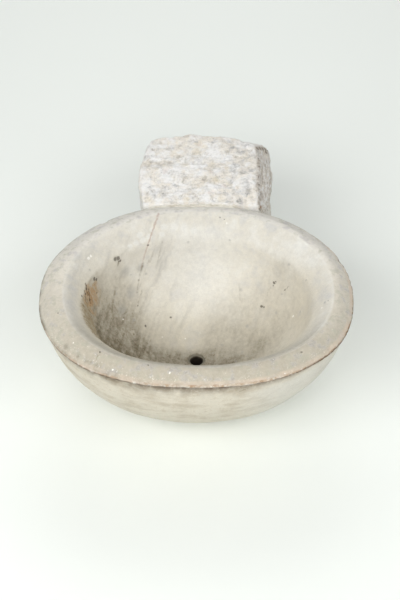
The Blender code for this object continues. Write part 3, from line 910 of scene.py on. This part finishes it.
def dirtAndShadeMasks(mesh):  # where the bowl is dirty or worn, and where light and shade are painted on it, as masks of its corners
    points, stage = corners(mesh), getMask(mesh, "stage")
    side, back = ovalShares(points)
    across, along = ovalShares(points, bowl["rimWidth"] + bowl["shoulder"])

    def part(*stages):
        return band(stage, *stages)

    # the hollow is painted darker round the drain and up the left, partly grime and partly painted shadow of
    # the front and left rims, and lighter along a path from the back to the drain
    soilAndShade = 0.46 * (1 - ease(along, -0.02, 0.72)) + 0.24 * (1 - ease(along, -0.02, 0.2))
    soilAndShade *= 1 - 0.85 * np.exp(-(((across + 0.1) / 0.22) ** 2)) * ease(along, 0.03, 0.24)
    soilAndShade *= 1 - 0.9 * ease(across, 0.25, 0.95)
    left = ease(-across, 0.4, 0.66)
    clear = ease(along + 0.16 * ease(-across, 0.66, 0.84), 0.28, 0.82)
    soilAndShade = soilAndShade * (1 - left) + left * (0.7 + 0.2 * (1 - ease(along, -0.25, 0.05))) * (1 - clear)
    soilAndShade *= 1 - 0.42 * band(across, 0.05, 0.16, 0.45, 0.62) * band(along, -0.06, 0.03, 0.25, 0.42)
    soilAndShade += 0.15 * band(across, 0.02, 0.16, 0.86, 0.98) * band(along, -0.1, 0.15, 0.58, 0.8)
    soilAndShade *= 1 - 0.9 * ease(-along, 0.3, 0.85)
    soilAndShade *= 1 + 0.35 * waves(points, 0.045, 3, 11.3)
    # rust has run down from the hollow's left edge
    edge = waves(points, 0.012, 4, 8.1) * 0.16
    strip = ease(np.hypot(across, along) + 0.3 * edge, 0.895, 0.945) * (across < 0)
    lower = 1 - ease(along, -0.14, 0.1)
    rust = strip * band(along + edge, -0.72, -0.55, 0.18, 0.42)
    rust *= band(stage + 0.2 * lower, 5.4, 5.58, 6.5, 6.7)
    rim = part(2.75, 3.02, 4.0, 4.6)
    # painted shade on the left of the shoulder and under the shoulder's edge at the back left
    inner = part(4.2, 4.8, 5.3, 5.6) * ease(-side, 0.3, 0.75) * ease(-back, -0.1, 0.4)
    inner += 0.6 * part(5.45, 5.56, 5.8, 6.15) * ease(along, 0.5, 0.8) * (1 - ease(across, -0.1, 0.2))
    leftFront = ease(-side, 0.15, 0.6) * ease(-back, 0.0, 0.45)
    # a dark line along the lip's outer edge at the left and the back: painted shade on the lip's side, with
    # dirt
    lipEdgeShadeAndDirt = part(2.2, 2.6, 2.95, 3.1) * np.clip(0.5 - 0.8 * side + 0.5 * back + 0.3 * leftFront, 0, 1)
    # painted light: the right of the shoulder, the middle of the hollow's back and the right front of the
    # body are painted paler
    paintedLight = part(4.4, 4.8, 5.4, 5.7) * ease(side, 0.45, 0.75) * 0.2
    middle = np.exp(-(((across - 0.05) / 0.32) ** 2))
    paintedLight += part(4.7, 5.3, 6.3, 6.7) * ease(along, 0.4, 0.85) * middle * 0.7
    paintedLight += part(1.2, 1.5, 1.93, 1.97) * ease(side, 0.15, 0.6) * ease(-back, -0.1, 0.4) * 0.6
    peach = part(2.45, 2.7, 3.08, 3.22) * np.clip(0.35 + 0.75 * side - 0.75 * back, 0, 1)
    worn = part(2.25, 2.45, 2.8, 3.04) * np.clip(0.55 + 0.4 * side - 0.6 * back, 0.16, 1)
    below = ease(stage - 0.4 * ease(side, 0.25, 0.8) - 0.3 * leftFront, 2.22, 2.48)
    # the groove under the lip and the band of body just below are painted dark: dirt, and painted shade under
    # the lip's overhang
    grooveShadeAndDirt = ease(stage, 1.965, 1.99) * (1 - below) * np.clip(0.65 + 0.35 * side - 0.6 * back, 0.4, 1)
    underLipShadeAndDirt = part(1.91, 1.985, 2.0, 2.3) * np.clip(0.15 - 0.75 * side - 0.45 * back, 0, 1)
    soiledAndShaded = {
        "warm": part(4.6, 5.4, 7.1, 7.3) * (1 - ease(along, 0.2, 0.95)),
        "rust": rust,
        "rustTop": band(along + edge, -0.02, 0.1, 0.26, 0.4),
        # the hollow's darkening: grime, and painted shadow of the front and left rims
        "soilAndShade": np.clip(soilAndShade * (1 - 0.45 * rust), 0, 1) * part(5.35, 5.6, 7.1, 7.3),
        "rimTone": rim,
        "paintedShade": 0.5 * inner,
        # painted shade with some dirt on the front crest, where it turns down into the hollow
        "crestShadeAndDirt": part(4.15, 4.5, 5.3, 5.6) * ease(-back, 0.2, 0.6),
        "lipEdgeShadeAndDirt": lipEdgeShadeAndDirt * patchy(points, 0.6, 1.1, 0.02, 4, 5.9),
        "paintedLight": paintedLight,
        "hollow": ease(stage, 5.2, 5.8),
        "lipRim": part(2.8, 2.95, 3.22, 3.5) * ease(-back, -0.1, 0.5),
        "peach": peach * patchy(points, 0.65, 0.9, 0.03, 3, 6.4),
        "frontRim": rim * ease(-back, -0.35, 0.9),
        # painted light: the back of the rim is painted lighter
        "litBackRim": rim * ease(back, -0.1, 0.7),
        "wear": worn * patchy(points, 0.8, 0.7, 0.022, 3, 2.7, 0, 1.2),
        "grooveShadeAndDirt": grooveShadeAndDirt * patchy(points, 0.95, 0.8, 0.011, 3, 4.3),
        "underLipShadeAndDirt": underLipShadeAndDirt * patchy(points, 0.7, 0.9, 0.014, 4, 9.7),
        "body": part(0.98, 1.02, 1.97, 2.2),
        "hewn": part(0.2, 0.45, 0.6, 0.8),
    }
    for name, values in soiledAndShaded.items():
        setMask(mesh, name, values)


def makeMarble(tree):
    finish, start, place = newFinish("wornMarble")
    mask = start.mask
    near = shaken(place, 0.0055, 0.005)
    fine = grain(place, 0.0016, 3, 0.6)
    coarse = grain(place, 0.0065, 3, 0.6)
    mottles = grain(near, 0.0085, 5, 0.68)
    patches = grain(place, 0.024, 4, 0.6)
    clouds = grain(place, 0.085, 4, 0.55) * 0.6 + patches * 0.4
    stops = [(level, (*marble[tone], 1)) for level, tone in ((0.36, "cool"), (0.48, "cream"), (0.62, "pale"))]
    paint = painter(marble, clouds.node("ValToRGB", {"Fac": clouds}, "Color", stops))
    # veins run through the stone in steep sheets, most of them on the left
    sheets = fibres(shaken(place, 0.035, 0.022), (0.016, 0.15, 0.1), 5, 0.65, (0.12, 0.34, -0.25))
    leftSide = place.node("SeparateXYZ", {"Vector": place}, "X").between(0.05, -0.1)
    veins = sheets.between(0.47, 0.72) * (0.2 + 0.46 * leftSide) * (0.4 + 1.2 * coarse)
    paint("vein", veins * (0.35 + 0.65 * mask("hollow")))
    # the outside of the bowl, with faint lines of tooling along it
    body = mask("body")
    lines = fibres(place, (0.06, 0.06, 0.0022), 3, 0.6)
    stain = fibres(place, (0.05, 0.05, 0.018), 5, 0.62)
    paint("body", body * 0.85)
    paint("bodyStain", body * (stain.between(0.44, 0.72) * 0.7 + lines.between(0.5, 0.75) * 0.13))
    paint("bodyStain", body * mottles.between(0.5, 0.68) * 0.5)
    # the rim is painted lighter and greyer at the back as painted light, and darker towards the front
    rim = mask("rimTone")
    front = mask("frontRim")
    paint("sideRim", rim * (0.5 + 0.4 * coarse))
    paint("litBackRim", mask("litBackRim") * (0.55 + 0.35 * coarse))
    paint("frontRim", front * (0.45 + 0.75 * (patches * 0.5 + coarse * 0.5)))
    flecks = fine.between(0.48, 0.72) * coarse.between(0.3, 0.7)
    paint("moss", rim * grain(place, 0.013, 4, 0.62).between(0.5, 0.66) * 0.55)
    paint("lilac", rim * grain(place, 0.017, 4, 0.6).between(0.52, 0.66) * 0.6)
    paint("fleck", flecks * (0.34 * rim + 0.42 * front + 0.16))
    smudges = grain(near, 0.017, 5, 0.68).between(0.53, 0.68)
    paint("smudge", smudges * (0.22 * rim + 0.36 * front))
    paint("smudge", marks(near, tree, lipSmudges, 0.9) * mottles.between(0.36, 0.6) * 0.75)
    sparkles = grain(place, 0.0023, 2, 0.5).between(0.66, 0.72) * patches.between(0.42, 0.56)
    paint("sparkle", sparkles * (0.25 * rim + 0.35 * front))
    crumbs = grain(place, 0.0027, 3, 0.6).between(0.6, 0.67) * patches.between(0.4, 0.55)
    paint("sparkle", crumbs * mask("lipRim") * 0.6)
    # the dark line along the lip's outer edge: painted shade with dirt
    paint("lipEdgeShadeAndDirt", mask("lipEdgeShadeAndDirt") * (0.35 + 0.9 * coarse))
    # the left of the shoulder is painted a cooler grey as painted shade, and so is the hollow's edge at the
    # back left
    paint("paintedShade", mask("paintedShade") * (0.5 + 0.5 * patches))
    # the front crest is painted darker where it turns down into the hollow: painted shade, with some dirt
    paint("crestShadeAndDirt", mask("crestShadeAndDirt") * (0.35 + 0.7 * coarse))
    # the hollow is painted darker in clouds, specks and runs: grime, and painted shadow of the front and left
    # rims
    runs = fibres(shaken(place, 0.02, 0.006), (0.007, 0.06, 0.06), 4, 0.6, (0.0, 0.26, -0.2))
    soilAndShade = mask("soilAndShade")
    paint("warm", mask("warm") * (0.34 + 0.5 * patches))
    # painted light, laid in the pale tone
    paint("pale", mask("paintedLight") * (0.6 + 0.6 * patches))
    blotches = grain(near, 0.011, 4, 0.65)
    grimeAndShade = soilAndShade * (0.78 + 0.28 * runs.between(0.36, 0.68) + 1.1 * (blotches - 0.5) + 0.6 * (coarse - 0.5))
    paint("grimeAndShade", grimeAndShade + flecks * soilAndShade * 0.9)
    # wear along the arris, with fresh chips, and under it a dark groove and band: dirt, and painted shade
    # under the lip
    paint("peach", mask("peach") * (0.4 + 0.6 * coarse))
    paint("wear", mask("wear") * coarse.between(0.28, 0.58) * 0.9)
    paint("chip", mask("chipped") * fine.between(0.4, 0.6) * 0.25)
    paint("underLipShadeAndDirtTone", mask("underLipShadeAndDirt") * (0.35 + 1.1 * coarse))
    paint("grooveShadeAndDirt", mask("grooveShadeAndDirt") * coarse.between(0.16, 0.5) * 0.92)
    # marks that show in the photograph
    paint("pale", marks(near, tree, palePatches, 0.6) * 0.85)
    paint("redVein", streaks(near, tree, redStreaks) * mottles.between(0.25, 0.48))
    rust, rustTop = mask("rust"), mask("rustTop")
    mottled = fibres(near, (0.004, 0.0045, 0.016), 4, 0.65)
    paint("rustLow", rust * (0.3 + 0.8 * mottled.between(0.3, 0.62)) * 0.8)
    paint("rust", rust * rustTop * (0.3 + 0.7 * mottled.between(0.36, 0.6)) * 0.85)
    paint("rustCore", rust * mottled.between(0.56, 0.72) * 0.75)
    paint("rustCore", streaks(near, tree, rustStreaks) * mottles.between(0.32, 0.54))
    paint("vein", marks(near, tree, greySmudges, 0.9) * (0.25 + 0.5 * coarse))
    paint("grimeAndShade", streaks(near, tree, darkStreaks) * mottles.between(0.34, 0.6))
    specks = marks(near, tree, darkSpecks, 0.5)
    paint("pit", specks * (0.55 + 0.4 * fine))
    # white specks, the first two a painted highlight
    paint("sparkle", marks(near, tree, whiteSpecksAndGlints))
    # the neck and the underside are left from the point
    hewn = mask("hewn")
    colour = paint("bed", hewn * (0.35 + 0.5 * coarse))
    colour = shaded(shaded(colour, fine, 0.93, 1.07), mottles, 0.935, 1.06)
    rough = 0.6 + 0.16 * coarse + 0.15 * soilAndShade + 0.1 * hewn
    height = fine * 0.35 + coarse * 0.5 + lines * body * 0.6 - specks * 0.8
    surface(start, colour, rough, height, 0.0006, 0.22)
    return finish


stoneTones = {
    "white": (0.95, 0.942, 0.92),
    "beige": (0.91, 0.855, 0.76),
    "grey": (0.43, 0.422, 0.412),
    "dust": (0.64, 0.632, 0.618),
    "speck": (0.29, 0.285, 0.285),
    "yellow": (0.82, 0.73, 0.55),
    "pink": (0.79, 0.675, 0.605),
    "smear": (0.95, 0.955, 0.95),
    "sunkShadeAndDirt": (0.36, 0.33, 0.28),
    "flank": (0.66, 0.595, 0.52),
    "flankDark": (0.3, 0.245, 0.19),
    "crack": (0.11, 0.075, 0.05),
    "rust": (0.33, 0.17, 0.08),
}
# patches of the tail: where each shows and its radius in mm
yellowPatches = (
    (197, 152, 16), (185, 164.5, 13), (216, 180, 16), (228, 184, 14), (150, 162, 8), (204, 147, 8),
    (186, 199, 14), (222, 199, 16), (148, 200, 10), (226, 168, 9),
)
pinkPatches = (
    (211, 171.5, 8), (165, 171, 10), (199, 145, 7), (224, 186, 8), (262, 158, 9), (262, 172, 8),
    (211, 192, 8),
)
# white smears of mortar; the three small ones on the front edge are white chips with a painted highlight
# where the edge catches the light
whiteSmearsAndGlints = (
    (217, 159, 17), (224, 162, 10), (247.6, 164, 8), (180, 152, 8), (243, 205, 4), (250, 205, 4),
    (232, 204.5, 4), (183, 190, 14), (170, 195, 10), (205, 165, 8),
)
greyPatches = (
    (239, 151, 14), (243, 172, 14), (235, 164, 9), (232, 148, 10), (160, 166, 10), (150, 188, 10),
    (166, 188, 10), (247, 180, 10), (240, 201, 12), (228, 201, 10), (170, 148, 10), (246, 146, 10),
    (250, 156, 12), (250, 170, 12), (236, 192, 12), (248, 192, 12), (226, 193, 9), (154, 196, 12),
    (146, 158, 8), (233, 170, 14), (231, 180, 12), (246, 186, 14), (243, 161, 14), (163, 193, 12),
    (176, 186, 9), (190, 141, 9), (214, 141, 9), (228, 142, 10),
)
# painted shade at the top end of the flank and along its edge with the top: where each shows and its radius
# in mm
flankShadeMarks = (
    (257.5, 148.5, 6), (260, 148.5, 6), (262.5, 148.7, 6), (265, 149, 6), (267.5, 149.5, 6),
    (269, 150.5, 5), (258.5, 158, 3), (259, 166, 3), (258.5, 177, 3), (259, 185, 3), (261, 199, 3),
    (262, 194, 2.4), (260, 209, 4),
)
crackRust = (260.5, 207, 4.5)


def makeRoughStone(tree):
    finish, start, place = newFinish("roughStone")
    near = shaken(place, 0.012, 0.016)
    nearer = shaken(place, 0.004, 0.004)
    broad = grain(place, 0.03, 4, 0.6)
    fine = grain(place, 0.0018, 3, 0.65)
    coarse = grain(shaken(place, 0.004, 0.003), 0.0055, 4, 0.65)
    paint = painter(stoneTones, stoneTones["white"])
    paint("beige", broad.between(0.36, 0.62) * 0.85)
    paint("yellow", grain(place, 0.021, 3, 0.6).between(0.5, 0.72) * 0.35)
    dusty = marks(near, tree, greyPatches, 1.0)
    paint("yellow", marks(near, tree, yellowPatches, 0.95) * (0.2 + 0.5 * coarse))
    paint("pink", marks(near, tree, pinkPatches, 0.95) * (0.2 + 0.5 * coarse))
    ridges = fibres(shaken(place, 0.012, 0.01), (0.013, 0.0048, 0.008), 5, 0.68, (0.0, 0.0, 0.35))
    paint("dust", dusty * (0.25 + 0.75 * ridges.between(0.36, 0.6)) * 0.8)
    paint("grey", ridges.between(0.5, 0.68) * (0.26 + 0.5 * dusty))
    # the tail's hollows painted darker: painted shade with dirt
    paint("sunkShadeAndDirt", start.mask("sunkShadeAndDirt").between(0.52, 0.92) * (0.15 + 0.85 * coarse.between(0.38, 0.62)) * 0.6)
    flank = start.mask("flank")
    specks = grain(nearer, 0.0036, 4, 0.76).between(0.54, 0.62)
    specks = specks * grain(place, 0.019, 3, 0.6).between(0.44, 0.6)
    specks = specks | dusty * coarse.between(0.52, 0.6) * 0.5
    paint("speck", specks * (0.4 + 0.4 * dusty) * (1 - 0.8 * flank))
    lines = fibres(place, (0.004, 0.06, 0.004), 3, 0.6)
    paint("flank", flank * (0.75 * coarse.between(0.34, 0.6)))
    paint("flankDark", flank * lines.between(0.5, 0.66) * 0.42)
    paint("smear", flank * lines.between(0.47, 0.36) * 0.8)
    paint("flankDark", start.mask("arris") * (0.15 + 0.6 * coarse))
    # white smears, with a painted highlight along the front edge
    paint("smear", marks(near, tree, whiteSmearsAndGlints, 0.8) * (0.35 + 0.5 * fine))
    # painted shade at the top end of the flank and along its edge
    paint("flankDark", marks(nearer, tree, flankShadeMarks, 0.6) * 0.9)
    # pores painted dark in the same tone: dirt with painted shade
    pores = grain(nearer, 0.003, 3, 0.6).between(0.57, 0.7) * (0.15 + 0.85 * broad.between(0.38, 0.6))
    paint("sunkShadeAndDirt", pores * (0.36 + 0.55 * dusty))
    paint("crack", start.mask("crack").between(0.35, 0.9) * 0.95)
    colour = paint("rust", marks(nearer, tree, (crackRust,), 0.5) * 0.7)
    colour = shaded(colour, fine, 0.93, 1.06)
    rough = 0.78 + 0.15 * fine
    height = fine * 0.4 + coarse * 0.6 - ridges * 1.3 - pores * 0.6
    surface(start, colour, rough, height, 0.0024, 0.25)
    return finish


mortarTones = {
    "lime": (0.78, 0.75, 0.67),
    "sand": (0.52, 0.46, 0.36),
    "dust": (0.42, 0.39, 0.34),
    "stone": (0.27, 0.24, 0.2),
}


def makeLimeMortar():
    finish, start, place = newFinish("limeMortar")
    broad = grain(place, 0.018, 4, 0.6)
    sand = grain(place, 0.0014, 2, 0.6)
    crumbs = place.node("TexVoronoi", {"Vector": place, "Scale": 1 / 0.0032}, "Distance", feature="F1")
    paint = painter(mortarTones, mortarTones["lime"])
    paint("sand", broad.between(0.42, 0.68) * 0.6)
    paint("stone", crumbs.between(0.22, 0.1) * sand.between(0.5, 0.62) * 0.7)
    colour = paint("dust", sand.between(0.55, 0.72) * 0.5)
    surface(start, colour, 0.86 + 0.1 * sand, crumbs * 0.6 + sand, 0.0009, 0.2)
    return finish


leadTones = {
    "bright": (0.33, 0.335, 0.34),
    "dull": (0.19, 0.19, 0.19),
    "bloom": (0.52, 0.5, 0.47),
    "scale": (0.25, 0.232, 0.178),
    "sludgeAndShade": (0.022, 0.016, 0.011),
    "sludgeEdgeAndShade": (0.085, 0.068, 0.05),
}


def makeLead(name, drain):  # dull lead with a pale bloom, and limescale, and sludge with painted shade darkening the bore, where it lines the drain
    finish, start, place = newFinish(name)
    broad = grain(place, 0.012, 4, 0.6)
    fine = grain(place, 0.0016, 3, 0.6)
    paint = painter(leadTones, leadTones["bright"])
    paint("dull", broad.between(0.35, 0.62))
    colour = paint("bloom", fine.between(0.5, 0.7) * 0.6)
    metal, rough = 0.75 - 0.5 * fine.between(0.5, 0.7), 0.5 + 0.3 * broad
    if drain:
        level = place.node("SeparateXYZ", {"Vector": shaken(place, 0.004, 0.003)}, "Z")
        scale = level.between(0.044, 0.0475)
        paint("scale", scale * (0.75 + 0.4 * fine))
        # the bore is painted near black below its mouth: sludge and painted shade
        throat = level.between(0.0482, 0.0462)
        paint("sludgeEdgeAndShade", throat)
        colour = paint("sludgeAndShade", level.between(0.047, 0.042) * (0.7 + 0.4 * broad))
        metal = metal * (1 - (scale | throat))
        rough = rough + 0.2 * scale
    surface(start, colour, rough, fine * 0.4 + broad, 0.0006, 0.4, metal)
    return finish


ironTones = {"scale": (0.055, 0.045, 0.04), "rust": (0.235, 0.095, 0.04), "flake": (0.36, 0.19, 0.085)}


def makeRustyIron():
    finish, start, place = newFinish("rustedIron")
    broad = grain(place, 0.008, 5, 0.65)
    fine = grain(place, 0.0012, 3, 0.65)
    drawn = fibres(place, (0.002, 0.03, 0.002), 3, 0.6)  # along the bar
    rust = broad.between(0.36, 0.56)
    paint = painter(ironTones, ironTones["scale"])
    paint("rust", rust)
    colour = paint("flake", fine.between(0.52, 0.68) * rust * 0.8)
    surface(start, colour, 0.6 + 0.35 * rust, fine * 0.6 + drawn, 0.0008, metal=0.85 - 0.8 * rust)
    return finish


puttyTones = {"oil": (0.36, 0.275, 0.175), "chalk": (0.56, 0.49, 0.38), "dirt": (0.12, 0.09, 0.06)}


def makePutty():
    finish, start, place = newFinish("oilPutty")
    broad = grain(place, 0.006, 4, 0.6)
    fine = grain(place, 0.0009, 3, 0.6)
    cells = {"Vector": shaken(place, 0.003, 0.001), "Scale": 1 / 0.004}
    cracks = place.node("TexVoronoi", cells, "Distance", feature="DISTANCE_TO_EDGE")
    split = cracks.between(0.05, 0.01)
    paint = painter(puttyTones, puttyTones["oil"])
    paint("chalk", broad.between(0.4, 0.66))
    colour = paint("dirt", (split | fine.between(0.6, 0.74)) * 0.8)
    surface(start, colour, 0.62 + 0.25 * fine, fine * 0.4 - split, 0.0005)
    return finish


def dress(piece, finish, node, angle):  # gives a piece its finish in a slot, smooth shading and its body, and hides the node of the solids that it stands in for
    piece.data.materials.clear()
    piece.data.materials.append(finish)
    piece.data.shade_smooth()
    piece.data.set_sharp_from_angle(angle=math.radians(angle))
    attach(piece, "root")
    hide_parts(node)


dirtAndShadeMasks(bowlStone.data)
dress(bowlStone, makeMarble(bowlTree), "basin_bowl", 50)
dress(tailStone, makeRoughStone(tailTree), "tail_block", 70)
dress(jointMortar, makeLimeMortar(), "joint_mortar", 60)
dress(drainSleeve, makeLead("drainLead", True), "drain_sleeve", 60)
# the dowels, the lead round them and the putty stay as the solids have them
kept = {
    makeRustyIron(): ("dowel_left", "dowel_right"),
    makeLead("dullLead", False): ("lead_bowl_left", "lead_bowl_right", "lead_tail_left", "lead_tail_right"),
    makePutty(): ("drain_putty",),
}
for finish, names in kept.items():
    for name in names:
        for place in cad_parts[name].material_slots:
            place.material = finish
print("pieces finished")

# studio: a pale floor inside a ring of large soft lamps, the strongest at the front left
studio = {
    "floorHalf": 4.0,
    "floorDrop": 0.0005,
    "floor": (0.9, 0.935, 0.895),
    "backdrop": (0.79, 0.83, 0.795),
    "fade": (1.4, 2.6),  # how far from the middle the floor turns into the backdrop
    "lampReach": 3.0,
    "lampRise": math.radians(40),
    "lampSize": 2.0,
    "lampAim": (0, -0.05, 0.2),
    "lamps": {  # bearing from the front in degrees, to the right, and power
        "leftFront": (-45, 48),
        "front": (0, 36),
        "rightFront": (45, 28),
        "rightBack": (135, 9),
        "back": (180, 28),
        "leftBack": (-135, 8),
    },
    "fill": 0.03,
    "fillColour": (0.97, 1.0, 0.985),
}


def onlySeen(start):  # 1 for what is looked at or mirrored, 0 for what lights the stones
    kinds = ("Is Camera Ray", "Is Glossy Ray", "Is Transmission Ray")
    looked, glossy, through = (start.node("LightPath", None, kind) for kind in kinds)
    return looked | glossy | through


def makeStudio():
    half, low = studio["floorHalf"], -studio["floorDrop"]
    square = [(-half, -half, low), (half, -half, low), (half, half, low), (-half, half, low)]
    floor = meshPiece("floor", square, [(0, 1, 2, 3)])
    floorColour, fillColour, backdrop = ((*studio[key], 1) for key in ("floor", "fillColour", "backdrop"))
    finish, start, place = newFinish("paleFloor")
    matt = start.node("BsdfDiffuse", {"Color": floorColour}, "BSDF")
    pale = start.node("Emission", {"Color": backdrop}, "Emission")
    away = place.node("VectorMath", {0: place}, "Value", operation="LENGTH")
    faded = onlySeen(start) * away.between(*studio["fade"])
    both = start.node("MixShader", {0: faded, 1: matt, 2: pale}, "Shader")
    start.node("OutputMaterial", {"Surface": both})
    floor.data.materials.append(finish)
    world = bpy.data.worlds.new("surroundings")
    scene.world = world
    world.use_nodes = True
    world.node_tree.nodes.clear()
    start = Wire(world.node_tree)
    dim = start.node("Background", {"Color": fillColour, "Strength": studio["fill"]})
    pale = start.node("Background", {"Color": backdrop})
    both = start.node("MixShader", {0: onlySeen(start), 1: dim, 2: pale}, "Shader")
    start.node("OutputWorld", {"Surface": both})
    for name, (bearing, power) in studio["lamps"].items():
        lamp = bpy.data.lights.new(name, "AREA")
        lamp.shape, lamp.size, lamp.energy = "DISK", studio["lampSize"], power
        stand = newPiece(name, lamp)
        turn, rise = math.radians(bearing), studio["lampRise"]
        aim = Vector((math.sin(turn) * math.cos(rise), -math.cos(turn) * math.cos(rise), math.sin(rise)))
        stand.location = Vector(studio["lampAim"]) + aim * studio["lampReach"]
        stand.rotation_euler = aim.to_track_quat("Z", "Y").to_euler()


makeStudio()
print("studio ready")
